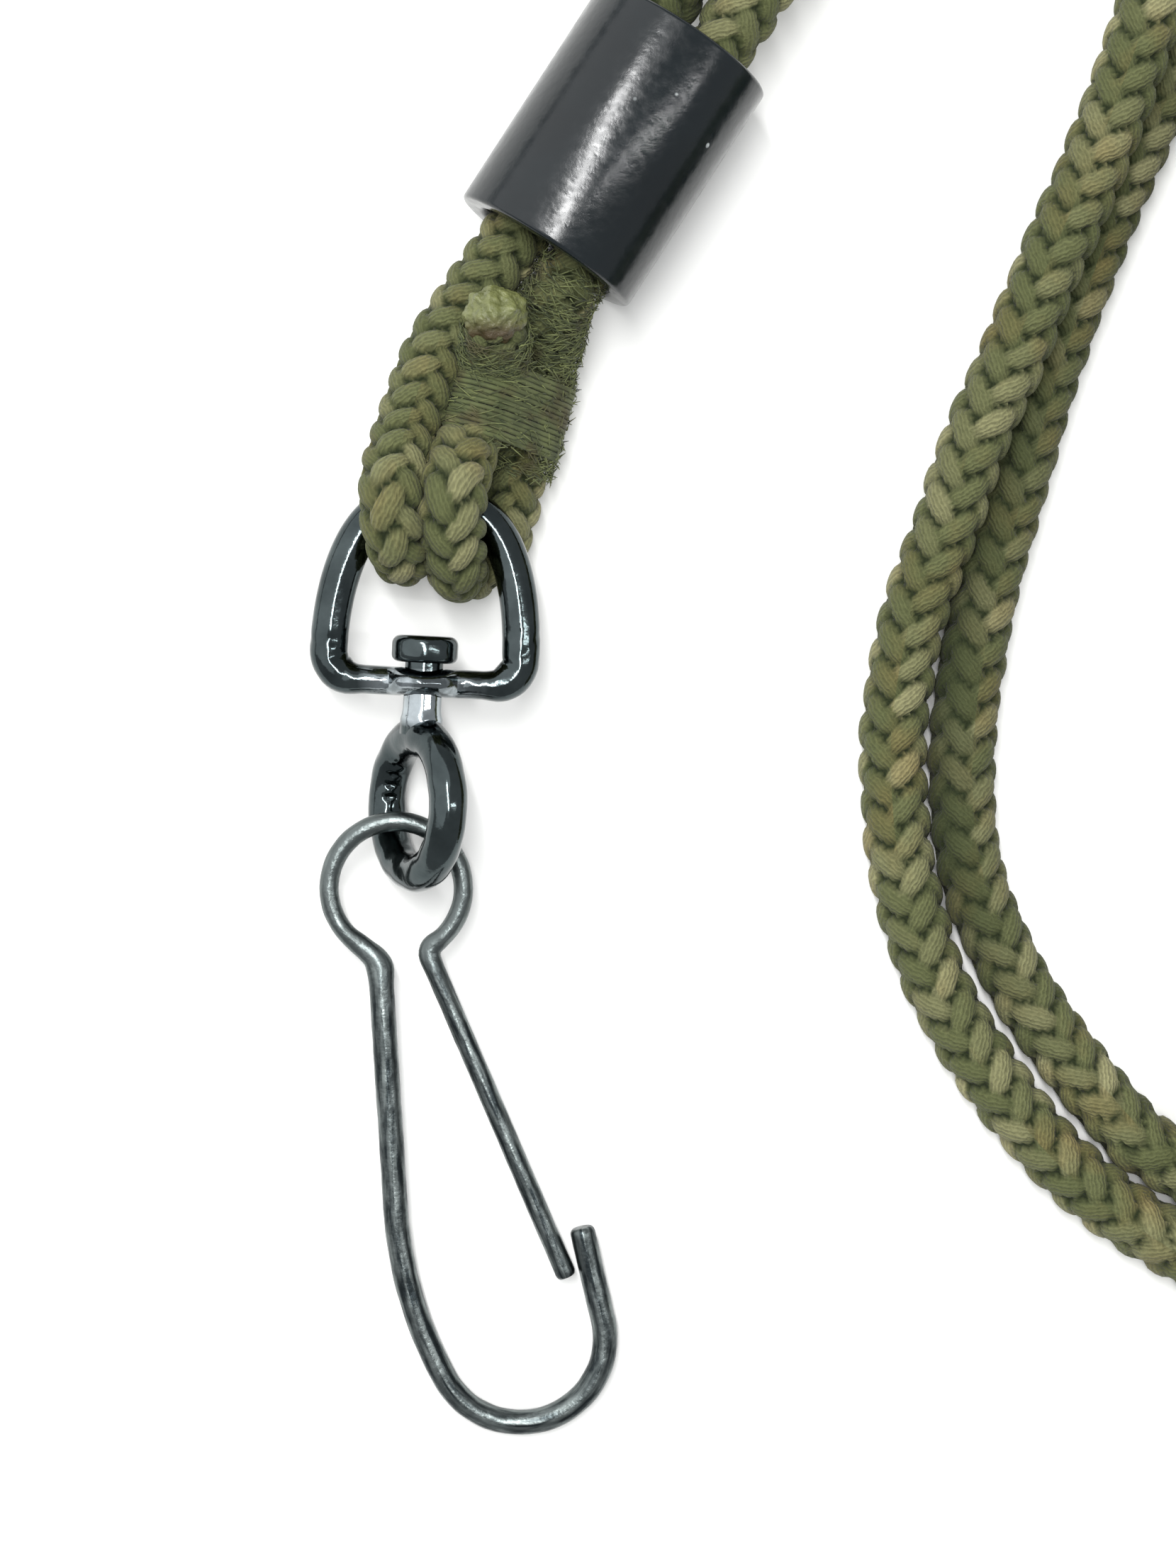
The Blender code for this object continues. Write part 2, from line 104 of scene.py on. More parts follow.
def hank_point(radius, quarter):
    """A point on a racetrack: quarter 0 is the foot's left, 1 its right, 2 the head's right, 3 its left."""
    whole, share = divmod(quarter % 4, 1)
    if whole in (0, 2):
        y = -HANK_HALF if whole == 0 else HANK_HALF
        angle = math.radians(180 + 180 * share if whole == 0 else 180 * share)
        return HANK_MIDDLE + Vector((radius * math.cos(angle), y + radius * math.sin(angle)))
    y = HANK_HALF * (2 * share - 1)
    return HANK_MIDDLE + (Vector((radius, y)) if whole == 1 else Vector((-radius, -y)))


def hank_height(quarter, y):
    """Lower layer for the first turn, climbing at the end of its left side to pass over the incoming pair."""
    climb = eased((quarter - CLIMB_FROM) / CLIMB_LENGTH)
    waist = eased(1 - abs(y - HANK_MIDDLE.y) / WAIST_REACH)
    return LAYERS[0] + (LAYERS[1] - LAYERS[0]) * climb + WAIST_LIFT * waist


def hank_strand(radius, first, last, step=0.1):
    points = []
    count = round((last - first) / step)
    for k in range(count + 1):
        quarter = first + (last - first) * k / count
        place = hank_point(radius, quarter)
        points.append((place.x, place.y, hank_height(quarter, place.y)))
    return points


# the strand that changes sides dips into the hollow between the two sides of the lower turn
CROSSING = [
    (77.8, -24.0, 7.3), (75.4, -17.0, 6.2), (72.4, -9.5, 4.0), (69.2, -2.5, 3.3), (66.0, 4.0, 3.3),
    (62.2, 10.5, 4.2), (57.6, 17.0, 6.4), (53.4, 23.0, 7.4),
]
free_route = OUTER_ROUTE + hank_strand(TRACKS[0], 0.32, 5.02) + CROSSING
free_route += hank_strand(TRACKS[1], 0.32, 7.0)[::-1] + INNER_ROUTE[::-1]


def catmull_rom(points, steps=10):
    """A smooth line through the points, which may carry a radius as a fourth number."""
    rows = [Vector(p) for p in points]
    rows = [2 * rows[0] - rows[1], *rows, 2 * rows[-1] - rows[-2]]
    line = []
    for a, b, c, d in zip(rows, rows[1:], rows[2:], rows[3:]):
        for k in range(steps):
            t = k / steps
            bend = (2 * a - 5 * b + 4 * c - d) * t**2
            line.append(0.5 * (2 * b + (c - a) * t + bend + (3 * b - a - 3 * c + d) * t**3))
    line.append(rows[-2])
    return line


def lengths_along(line):
    total = [0.0]
    for a, b in zip(line, line[1:]):
        total.append(total[-1] + (b.xyz - a.xyz).length)
    return total


def placed_at(line, stations):
    """Points of a line at the given distances from its start."""
    total = lengths_along(line)
    out, k = [], 0
    for want in stations:
        while k < len(line) - 2 and total[k + 1] < want:
            k += 1
        share = (want - total[k]) / (total[k + 1] - total[k])
        out.append(line[k].lerp(line[k + 1], min(1.0, max(0.0, share))))
    return out


def frames_along(points, closed=False, first_normal=Vector((0.0, 0.0, 1.0))):
    """Two directions across each point of a line, carried along it without twisting."""
    frames = []
    normal = first_normal
    count = len(points)
    for k, point in enumerate(points):
        before = points[(k - 1) % count] if closed or k else point
        after = points[(k + 1) % count] if closed or k < count - 1 else point
        along = (after.xyz - before.xyz).normalized()
        normal = (normal - along * normal.dot(along)).normalized()
        frames.append((normal, along.cross(normal)))
    return frames


def as_piece(name, shape, material):
    """Closes a bmesh off as a smooth object at the origin, with one material."""
    bmesh.ops.recalc_face_normals(shape, faces=shape.faces)
    for face in shape.faces:
        face.smooth = True
    mesh = bpy.data.meshes.new(name)
    shape.to_mesh(mesh)
    shape.free()
    mesh.materials.append(material)
    piece = bpy.data.objects.new(name, mesh)
    bpy.context.scene.collection.objects.link(piece)
    return piece


def wrapped(name, place, along, girth, sides, material, layers=()):
    """A grid wrapped into a tube: place(u, k) is a vertex in mm at share u of ring k, and its layers' values.

    along is each ring's distance along the piece. The UV map is in millimetres: round, then along.
    """
    rings = len(along) - 1
    shape = bmesh.new()
    uv = shape.loops.layers.uv.new("round_along")
    stores = [shape.verts.layers.float.new(layer) for layer in layers]
    bmesh.ops.create_grid(shape, x_segments=sides, y_segments=rings, size=0.5)
    for face in shape.faces:
        for loop in face.loops:
            corner = loop.vert.co
            loop[uv].uv = ((corner.x + 0.5) * girth, along[round((corner.y + 0.5) * rings)])
    for vert in shape.verts:
        spot, values = place(vert.co.x + 0.5, round((vert.co.y + 0.5) * rings))
        vert.co = spot * MM
        for store, value in zip(stores, values):
            vert[store] = value
    bmesh.ops.remove_doubles(shape, verts=shape.verts, dist=0.000001)
    rims = [edge for edge in shape.edges if edge.is_boundary]
    for edge in rims:
        edge.smooth = False
    if rims:
        bmesh.ops.holes_fill(shape, edges=rims)
    return as_piece(name, shape, material)


def braid_relief(u, v):
    """Height, lean (0 or 1) and shade of the float at u, a share of the way round, and v mm along."""
    a = CARRIERS * (u - v / BRAID_PITCH)
    b = CARRIERS * (u + v / BRAID_PITCH)
    i, j = math.floor(a + 0.5), math.floor(b + 0.5)
    turn = (i + j) % 4
    if turn < 2:
        across, along, key = a - i, b - j + turn - 0.5, (i, j - turn, 0)
    else:
        across, along, key = b - j, a - i + turn - 2.5, (j, i - turn + 2, 1)
    whole = CARRIERS * math.floor((key[0] + key[1] + 0.5) / (2 * CARRIERS))
    key = (key[0] - whole, key[1] - whole, key[2])
    swell = 0.5 + 0.5 * noise.cell(Vector((key[0] * 3.1, key[1] * 1.7, key[2] * 5.3)))
    fall = abs(1.8 * (across - FLOAT_SLANT * along)) ** 2.3 + abs(0.93 * along) ** 2.4
    height = max(0.0, 1.0 - fall) ** 0.45 * (0.84 + 0.16 * swell)
    return height, key[2], noise.cell(Vector((key[0] * 1.3 + 7.7, key[1] * 2.9, key[2] * 4.1 + 0.4)))


def no_soil_or_shade(u, v):
    return 0.0


def braided(
    name, line, stations, sides, material, radius=None, turned=(0.0, 0.0), tightness=1.0, soil_and_shade=no_soil_or_shade
):
    """A braided cord along a line whose points may carry a radius, turned about itself by shares of a turn.

    A tightness over 1 crowds its floats together along it. soil(u, v) is dirt and painted shade, from 0, none, to
    1.
    """
    points = placed_at(line, stations)
    frames = frames_along(points)

    def place(u, k):
        v = stations[k]
        twist = turned[0] + (turned[1] - turned[0]) * eased((v / stations[-1] - 0.2) / 0.6)
        height, leans, shade = braid_relief(u - twist, v * tightness)
        full = points[k][3] if len(points[k]) > 3 else radius
        out = full - FLOAT_HEIGHT * (1 - height) * full / BRAID_R
        side, up = frames[k]
        angle = math.tau * u
        spot = points[k].xyz + (side * math.cos(angle) + up * math.sin(angle)) * out
        return spot, (height, shade, leans, soil_and_shade(u, v))

    layers = ("relief", "tone", "lean", "soil_and_shade")
    return wrapped(name, place, stations, math.pi * CORD_D, sides, material, layers)


def linear(code):
    """A hex sRGB colour as linear red, green, blue and alpha."""
    parts = [int(code[k : k + 2], 16) / 255 for k in (1, 3, 5)]
    return (*[c / 12.92 if c <= 0.04045 else ((c + 0.055) / 1.055) ** 2.4 for c in parts], 1.0)


def add_node(material, kind, inputs=None, **settings):
    """Adds a shader node. inputs maps socket names or numbers to values or to other nodes' outputs."""
    tree = material.node_tree
    new = tree.nodes.new("ShaderNode" + kind)
    for key, value in settings.items():
        setattr(new, key, value)
    for key, value in (inputs or {}).items():
        if isinstance(value, bpy.types.NodeSocket):
            tree.links.new(value, new.inputs[key])
        else:
            new.inputs[key].default_value = value
    return new


def new_material(name, roughness, metallic=0.0):
    material = bpy.data.materials.new(name)
    material.use_nodes = True
    shader = material.node_tree.nodes["Principled BSDF"]
    shader.inputs["Roughness"].default_value = roughness
    shader.inputs["Metallic"].default_value = metallic
    return material, shader


# Olive drab nylon braid: dull yarn bundles with a soft sheen, each a little different in tone, and painted
# shade in the grooves between them.
braid, shader = new_material("braided_nylon", 0.72)
relief = add_node(braid, "Attribute", attribute_name="relief").outputs["Fac"]
tone = add_node(braid, "Attribute", attribute_name="tone").outputs["Fac"]
lean = add_node(braid, "Attribute", attribute_name="lean").outputs["Fac"]
place = add_node(braid, "UVMap", uv_map="round_along").outputs["UV"]
CARRIER_ANGLE = math.atan2(math.pi * CORD_D, BRAID_PITCH)  # between a carrier and the cord
FILAMENT = 0.3  # mm between the lines drawn on a float; real filaments are far finer
lines = []
for turn in (CARRIER_ANGLE, -CARRIER_ANGLE):
    turned = add_node(braid, "Mapping", {"Vector": place, "Rotation": (0.0, 0.0, turn)}).outputs["Vector"]
    wave = {"Vector": turned, "Scale": math.tau / 20 / FILAMENT, "Distortion": 5.0}
    wave.update({"Detail": 3.0, "Detail Scale": 1.5})
    lines.append(add_node(braid, "TexWave", wave, bands_direction="X").outputs["Fac"])
filaments = add_node(braid, "Mix", {"Factor": lean, "A": lines[0], "B": lines[1]}).outputs["Result"]
patches = add_node(braid, "TexNoise", {"Vector": place, "Scale": 0.16, "Detail": 4.0}).outputs["Fac"]
grains = add_node(braid, "TexNoise", {"Vector": place, "Scale": 3.2, "Detail": 5.0}).outputs["Fac"]
depth = add_node(braid, "MapRange", {"Value": relief, "From Min": 0.04, "From Max": 0.7}).outputs["Result"]
shade = add_node(braid, "MapRange", {"Value": tone, "To Min": 0.0, "To Max": 0.75}).outputs["Result"]
light = add_node(
    braid, "Mix", {"Factor": shade, "A": linear("#5A5E3D"), "B": linear("#96926D")}, data_type="RGBA"
).outputs["Result"]
brown = add_node(
    braid, "MapRange", {"Value": patches, "From Min": 0.5, "From Max": 0.72, "To Max": 0.55}
).outputs["Result"]
light = add_node(
    braid, "Mix", {"Factor": brown, "A": light, "B": linear("#7C6A40")}, data_type="RGBA"
).outputs["Result"]
fuzz = add_node(braid, "Math", {0: filaments, 1: 0.35, 2: grains}, operation="MULTIPLY_ADD").outputs["Value"]
speckle = add_node(
    braid, "MapRange", {"Value": fuzz, "From Min": 0.4, "From Max": 0.95, "To Min": 0.68, "To Max": 1.18}
).outputs["Result"]
light = add_node(
    braid, "Mix", {"Factor": 1.0, "A": light, "B": speckle}, data_type="RGBA", blend_type="MULTIPLY"
).outputs["Result"]
# Painted shade: the floats of one lean are coloured darker and browner, standing in for the shade they show beside
# the other lean.
back_lean_shade = add_node(braid, "MapRange", {"Value": lean, "To Max": 0.4}).outputs["Result"]
light = add_node(
    braid, "Mix", {"Factor": back_lean_shade, "A": light, "B": linear("#454B2C")}, data_type="RGBA"
).outputs["Result"]
# Soil: dirt and painted shade on the outer run, darkest on its side under the inner run.
soil_and_shade = add_node(braid, "Attribute", attribute_name="soil_and_shade").outputs["Fac"]
soil_and_shade = add_node(braid, "MapRange", {"Value": soil_and_shade, "To Max": 0.85}).outputs["Result"]
light = add_node(
    braid, "Mix", {"Factor": soil_and_shade, "A": light, "B": linear("#262D17")}, data_type="RGBA"
).outputs["Result"]
# Painted shade: where the relief is low, in the grooves between the floats, the colour goes to near-black olive.
colour = add_node(
    braid, "Mix", {"Factor": depth, "A": linear("#232A15"), "B": light}, data_type="RGBA"
).outputs["Result"]
braid.node_tree.links.new(colour, shader.inputs["Base Color"])
bump = add_node(braid, "Bump", {"Height": fuzz, "Strength": 0.8, "Distance": 0.0002}).outputs["Normal"]
braid.node_tree.links.new(bump, shader.inputs["Normal"])
shader.inputs["Sheen Weight"].default_value = 0.06
shader.inputs["Sheen Roughness"].default_value = 0.5
shader.inputs["Specular IOR Level"].default_value = 0.15

free_line = catmull_rom(free_route)
free_total = lengths_along(free_line)[-1]
FINE, COARSE, SHOWN = 0.36, 0.62, 152.0  # mm between rings in the runs and in the hank, and a run's length
stations = []
reach = 0.0
while reach < free_total - FINE:
    stations.append(reach)
    reach += COARSE if SHOWN < reach < free_total - SHOWN else FINE
stations.append(free_total)
RUN_TURNS = (-0.125, 0.042)  # of the braid in the outer and in the inner run, in turns


def run_soil_and_shade(u, v):
    """Dirt and painted shade on the outer run, most of it on the side where the two runs rub together and the inner
    run shades it.
    """
    return eased((SHOWN - v) / 20) * (0.3 + 0.7 * math.exp(-(((u - 0.22) / 0.16) ** 2)))


free_cord = braided("free_cord", free_line, stations, 48, braid, BRAID_R, RUN_TURNS, soil_and_shade=run_soil_and_shade)
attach(free_cord, "cord")
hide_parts("free_cord_outer", "free_cord_inner", "cord_hank")

# The cord's two ends come out of the sleeve, fold round the D-ring's arch and turn back up. Each point has
# the cord's radius there: pulled slim where the whipping and the arch squeeze it.
LEFT_END_ROUTE = [
    (8.2, 48.6, 7.0, 2.45), (3.4, 41.2, 7.0, 2.45), (-1.4, 33.8, 7.0, 2.45),
    (-4.25, 29.6, 6.9, 2.55), (-6.7, 26.0, 7.1, 2.5), (-8.1, 22.6, 7.7, 2.5), (-9.1, 19.6, 8.4, 2.5),
    (-9.75, 16.9, 9.7, 2.5), (-10.0, 14.7, 10.6, 2.45), (-9.8, 12.4, 9.9, 2.35),
    (-9.3, 10.9, 6.9, 2.15), (-9.6, 12.1, 4.0, 2.0), (-9.7, 14.4, 2.8, 2.0),
    (-8.2, 16.3, 2.4, 2.0), (-6.1, 17.6, 2.4, 1.95), (-4.9, 19.4, 2.4, 1.95),
    (-4.3, 21.7, 2.4, 2.0), (-3.8, 23.8, 2.4, 2.0), (-3.5, 26.0, 2.4, 2.0),
]
RIGHT_END_ROUTE = [
    (12.3, 45.9, 7.0, 2.45), (7.5, 38.5, 7.0, 2.45), (2.7, 31.15, 7.0, 2.45),
    (1.2, 28.6, 5.9, 2.5), (0.8, 26.0, 3.9, 2.3), (0.1, 23.5, 2.85, 2.2),
    (-0.55, 20.9, 2.85, 2.2), (-1.2, 18.2, 2.85, 2.3), (-1.8, 15.7, 2.6, 2.35),
    (-2.3, 13.4, 2.4, 2.25), (-3.0, 11.5, 2.6, 2.15), (-4.4, 10.2, 3.5, 2.1),
    (-5.4, 9.9, 5.2, 2.15), (-5.6, 10.5, 7.6, 2.3), (-5.8, 12.6, 9.8, 2.45),
    (-5.7, 15.0, 10.7, 2.5), (-5.3, 17.3, 9.3, 2.55), (-4.75, 19.2, 7.5, 2.45),
    (-3.9, 21.7, 7.1, 2.35), (-3.2, 24.2, 7.2, 2.35), (-2.8, 26.2, 9.0, 2.3),
    (-2.6, 27.9, 10.6, 2.0),
]
IN_SLEEVE = 2.0  # the ends meet the free cord this far inside the sleeve
END_STEP = 0.24
PINCHED = 1.25  # the folds and the whipping crowd the floats together
for name, route, node in (
    ("cord_left", LEFT_END_ROUTE, "cord_end_left"),
    ("cord_right", RIGHT_END_ROUTE, "cord_end_right"),
):
    line = catmull_rom(route)
    total = lengths_along(line)[-1]
    count = round((total - IN_SLEEVE) / END_STEP)
    stations = [IN_SLEEVE + (total - IN_SLEEVE) * k / count for k in range(count + 1)]
    end = braided(name, line, stations, 66, braid, tightness=PINCHED)
    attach(end, "cord")
    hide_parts(node)

# Whipping: waxed thread wound round the folded end, its standing part and the other tail, and teased out by
# wear, so that its loose filaments cover the standing part like moss from the sleeve down to the D-ring.
WHIPPING_PLACE = Vector((-3.9, 21.7, 0.0))
WHIPPING_LEAN = math.radians(14.5)  # of its length from +Y
WHIPPED_CORDS = [(-0.4, 2.7), (3.6, 2.85), (0.15, 7.15)]  # across and up, anticlockwise
BAND_R = 2.45  # of the thread's middle round each of them
BAND_MIDDLE = Vector((1.6, 0.0, 4.0))  # loose filaments stand away from it
THREAD_R = 0.19
WINDS = (-2.3, 3.1, 15)  # from, to along the whipping, and turns
TEASED = (17.5, 33.5)  # the stretch of the right cord, from its start, that loose filaments cover
HIDDEN_BELOW = 1.6  # over the table; filaments lower than this would be under the cord
UP = Vector((0.0, 0.0, 1.0))

# Waxed thread gone matt with wear: olive, with brown where it is dirty. Each filament is one shade.
thread, shader = new_material("waxed_thread", 0.8)
tone = add_node(thread, "Attribute", attribute_name="tone").outputs["Fac"]
place = add_node(thread, "TexCoord").outputs["Object"]
dirt = add_node(thread, "TexNoise", {"Vector": place, "Scale": 420.0, "Detail": 3.0}).outputs["Fac"]
light = add_node(
    thread, "Mix", {"Factor": tone, "A": linear("#2A3318"), "B": linear("#717849")}, data_type="RGBA"
).outputs["Result"]
dirty = add_node(
    thread, "MapRange", {"Value": dirt, "From Min": 0.52, "From Max": 0.68, "To Max": 0.75}
).outputs["Result"]
light = add_node(
    thread, "Mix", {"Factor": dirty, "A": light, "B": linear("#463F24")}, data_type="RGBA"
).outputs["Result"]
thread.node_tree.links.new(light, shader.inputs["Base Color"])
ply = add_node(thread, "TexNoise", {"Vector": place, "Scale": 2600.0, "Detail": 2.0}).outputs["Fac"]
bump = add_node(thread, "Bump", {"Height": ply, "Strength": 0.6, "Distance": 0.0001}).outputs["Normal"]
thread.node_tree.links.new(bump, shader.inputs["Normal"])
shader.inputs["Sheen Weight"].default_value = 0.05


def tight_outline(centres, radius, arc_steps):
    """The outline of a band pulled tight round equal circles; centres run anticlockwise."""
    outline = []
    for i, centre in enumerate(centres):
        before, after = centres[i - 1], centres[(i + 1) % len(centres)]
        first = math.atan2(centre[1] - before[1], centre[0] - before[0]) - math.pi / 2
        last = math.atan2(after[1] - centre[1], after[0] - centre[0]) - math.pi / 2
        sweep = (last - first) % math.tau
        for k in range(arc_steps + 1):
            angle = first + sweep * k / arc_steps
            across, up = centre[0] + radius * math.cos(angle), centre[1] + radius * math.sin(angle)
            outline.append(Vector((across, 0.0, up)))
    return outline


def rod(name, line, stations, section, sides, girth, material, placing=Matrix(), normal=UP, closed=False):
    """A rod along a line. section(point, s, angle) is how far a vertex stands out along the normal and sideways."""
    points = placed_at(line, stations)
    frames = frames_along(points[:-1] if closed else points, closed, normal)
    if closed:
        points[-1] = points[0]
        frames.append(frames[0])

    def place(u, k):
        rise, out = section(points[k], stations[k], math.tau * u)
        up, side = frames[k]
        return placing @ (points[k].xyz + up * rise + side * out), ()

    return wrapped(name, place, stations, girth, sides, material)


def evenly(total, step):
    count = max(2, round(total / step))
    return [total * k / count for k in range(count + 1)]


whipping_frame = Matrix.Translation(WHIPPING_PLACE) @ Matrix.Rotation(-WHIPPING_LEAN, 4, "Z")
band = tight_outline(WHIPPED_CORDS, BAND_R, 10)
band_total = lengths_along(band + band[:1])[-1]
first, last, turns = WINDS
coil = []
for k in range(turns * 30 + 1):
    lap = k / 30
    spot = placed_at(band + band[:1], [(lap % 1.0) * band_total])[0]
    waver = 0.1 * noise.noise(Vector((lap * 2.3, 0.7, 1.9)))
    coil.append(Vector((spot.x, first + (last - first) * lap / turns + waver, spot.z)))
line = catmull_rom(coil, 2)
whipping = rod(
    "whipping_thread", line, evenly(lengths_along(line)[-1], 0.3),
    lambda point, s, angle: (THREAD_R * math.cos(angle), THREAD_R * math.sin(angle)),
    6, math.tau * THREAD_R, thread, whipping_frame, Vector((0.0, 1.0, 0.0)),
)
tones = whipping.data.attributes.new("tone", "FLOAT", "POINT")
tones.data.foreach_set("value", [0.35 + 0.3 * noise.noise(v.co * 900) for v in whipping.data.vertices])
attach(whipping, "cord")
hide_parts("end_whipping")

right_line = catmull_rom(RIGHT_END_ROUTE)
draw = random.Random(11)
FILAMENTS = 5200
FILAMENT_R = 0.06  # drawn stout: real filaments are too fine to show
BATCH = 130  # filaments made in one small mesh, because operators slow down on a large one
folded_total = lengths_along(right_line)[-1]


def filament_root(kind):
    """Where a filament starts, on the band or on a cord, and the cord's direction and the way out there."""
    if kind == 0:
        spot = placed_at(band + band[:1], [band_total * draw.random()])[0]
        out = (whipping_frame.to_3x3() @ (spot - BAND_MIDDLE)).normalized()
        base = whipping_frame @ (spot + Vector((0.0, draw.uniform(first - 0.4, last + 0.8), 0.0)))
        return base, whipping_frame.to_3x3() @ Vector((0.0, 1.0, 0.0)), out
    reach = draw.uniform(folded_total - 5.0, folded_total - 1.6) if kind == 1 else draw.uniform(*TEASED)
    a, b = placed_at(right_line, [reach, reach + 0.3])
    way = (b.xyz - a.xyz).normalized()
    side = way.cross(UP).normalized()
    angle = draw.uniform(0.0, math.tau)
    out = side * math.cos(angle) + side.cross(way) * math.sin(angle)
    return a.xyz + out * (a[3] + 0.02), way, out


shape = bmesh.new()
shape.verts.layers.float.new("tone")
for start_at in range(0, FILAMENTS, BATCH):
    few = bmesh.new()
    tone_layer = few.verts.layers.float.new("tone")
    for k in range(start_at, start_at + BATCH):
        base, way, out = filament_root(k % 6)
        heading = out.cross(way) * draw.choice((-1, 1)) + way * draw.gauss(0.0, 0.55)
        heading += out * draw.uniform(0.0, 0.25)
        heading.normalize()
        length = draw.uniform(0.5, 1.5)
        base += heading * length * 0.35 + out * draw.uniform(0.0, 0.22)
        shade = draw.random()
        if base.z < HIDDEN_BELOW:
            continue
        spin = heading.to_track_quat("Z", "Y").to_matrix().to_4x4()
        made = bmesh.ops.create_cone(
            few, cap_ends=True, segments=4, radius1=FILAMENT_R * MM, radius2=0.3 * FILAMENT_R * MM,
            depth=length * MM, matrix=Matrix.Translation(base * MM) @ spin,
        )
        for vert in made["verts"]:
            vert[tone_layer] = shade
    batch = bpy.data.meshes.new("batch")
    few.to_mesh(batch)
    few.free()
    shape.from_mesh(batch)
    bpy.data.meshes.remove(batch)
tuft = as_piece("loose_filaments", shape, thread)
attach(tuft, "cord")

# Melted ends: the cord's two cut ends, sealed with a flame. Nylon melts to a pale glassy bead, lumpy and
# browned at its edge. One sits on the folded end, above the whipping; the tail's is under it, against the
# table.
melted, shader = new_material("flame_melted_nylon", 0.38)
place = add_node(melted, "TexCoord").outputs["Object"]
clouds = add_node(melted, "TexNoise", {"Vector": place, "Scale": 1500.0, "Detail": 6.0}).outputs["Fac"]
height = add_node(melted, "SeparateXYZ", {"Vector": place}).outputs["Y"]
scorch = add_node(
    melted, "MapRange", {"Value": height, "From Min": 0.0274, "From Max": 0.0262}
).outputs["Result"]
bead = add_node(
    melted, "Mix", {"Factor": clouds, "A": linear("#363C20"), "B": linear("#858955")}, data_type="RGBA"
).outputs["Result"]
bead = add_node(
    melted, "Mix", {"Factor": scorch, "A": bead, "B": linear("#453A26")}, data_type="RGBA"
).outputs["Result"]
melted.node_tree.links.new(bead, shader.inputs["Base Color"])
bump = add_node(melted, "Bump", {"Height": clouds, "Strength": 0.8, "Distance": 0.0004}).outputs["Normal"]
melted.node_tree.links.new(bump, shader.inputs["Normal"])
for name, middle, size in (
    ("melted_end_folded", (-2.75, 27.6, 10.7), (2.25, 2.0, 1.9)),
    ("melted_end_tail", (-3.45, 26.3, 2.4), (1.9, 0.9, 1.9)),
):
    shape = bmesh.new()
    bmesh.ops.create_icosphere(shape, subdivisions=5, radius=1.0)
    for vert in shape.verts:
        lump = 0.95 + 0.2 * noise.noise(vert.co * 2.1 + Vector((0.4, 0.3, 0.6)))
        lump += 0.09 * noise.noise(vert.co * 5.5)
        vert.co = Vector([(c + r * lump * n) * MM for c, r, n in zip(middle, size, vert.co)])
    melted_end = as_piece(name, shape, melted)
    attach(melted_end, "cord")

# Hank tie: a length of woven cotton tape, taken twice round the hank's waist and tied on top in a flat knot
# with two short tails.
TIE_MIDDLE = Vector((66.5, 0.1, 0.0))
TAPE_WIDTH, TAPE_THICK = 3.1, 0.42
TIE_CORNERS = [(-17.0, 3.0), (17.0, 3.0), (17.0, 8.4), (-17.0, 8.4)]  # across and up, anticlockwise
TIE_CORNER_R = 2.5
TIE_START = 0.62  # of the way round the loop: on top, near the middle
TIE_ADVANCE = 3.3  # along the hank, over both laps

# Woven cotton tape, dyed dark: a plain weave whose ribs run across it, drawn at 0.5 mm.
tape, shader = new_material("woven_cotton_tape", 0.85)
place = add_node(tape, "UVMap", uv_map="round_along").outputs["UV"]
RIB = 0.5  # mm
weave = []
for direction in ("X", "Y"):
    wave = {"Vector": place, "Scale": math.tau / 20 / RIB, "Distortion": 0.5}
    weave.append(add_node(tape, "TexWave", wave, bands_direction=direction).outputs["Fac"])
threads = add_node(tape, "Math", {0: weave[0], 1: weave[1]}, operation="MULTIPLY").outputs["Value"]
fluff = add_node(tape, "TexNoise", {"Vector": place, "Scale": 1.2, "Detail": 4.0}).outputs["Fac"]
mixed = add_node(tape, "Math", {0: threads, 1: fluff}, operation="MULTIPLY").outputs["Value"]
colour = add_node(
    tape, "Mix", {"Factor": mixed, "A": linear("#23281A"), "B": linear("#7B8058")}, data_type="RGBA"
).outputs["Result"]
tape.node_tree.links.new(colour, shader.inputs["Base Color"])
bump = add_node(tape, "Bump", {"Height": threads, "Strength": 0.7, "Distance": 0.00015}).outputs["Normal"]
tape.node_tree.links.new(bump, shader.inputs["Normal"])
shader.inputs["Sheen Weight"].default_value = 0.3


def tape_section(point, s, angle):
    """A flat band with soft edges, its face towards the normal."""
    rise = math.copysign(abs(math.cos(angle)) ** 0.6, math.cos(angle)) * TAPE_THICK / 2
    return rise, math.copysign(abs(math.sin(angle)) ** 0.6, math.sin(angle)) * TAPE_WIDTH / 2


loop_line = tight_outline(TIE_CORNERS, TIE_CORNER_R, 8)
loop_total = lengths_along(loop_line + loop_line[:1])[-1]
start_at = TIE_START * loop_total
wraps = []
for k in range(161):
    lap = 2 * k / 160
    spot = placed_at(loop_line + loop_line[:1], [(start_at + lap * loop_total) % loop_total])[0]
    wraps.append(TIE_MIDDLE + Vector((spot.x, TIE_ADVANCE * (lap / 2 - 0.5), spot.z)))
KNOT_LEFT = [
    (-7.5, -2.6, 11.3), (-4.0, -1.7, 11.5), (-1.0, -0.6, 12.0), (1.1, 0.6, 12.5), (2.1, 1.7, 12.2),
    (1.0, 2.6, 11.6), (-1.2, 2.2, 11.5), (-2.6, 0.8, 12.4), (-1.5, -0.6, 12.9), (1.5, -1.6, 12.6),
    (4.6, -2.9, 11.6), (8.0, -4.2, 11.3),
]
KNOT_RIGHT = [
    (7.5, 2.4, 11.3), (4.0, 1.6, 11.5), (1.4, 0.4, 11.6), (-0.9, -1.0, 11.6), (-2.2, -2.2, 11.7),
    (-3.4, -1.4, 12.4), (-3.2, 0.6, 12.8), (-4.6, 2.6, 11.8), (-8.5, 4.4, 11.3),
]
TAPE_GIRTH = 2 * (TAPE_WIDTH + TAPE_THICK)
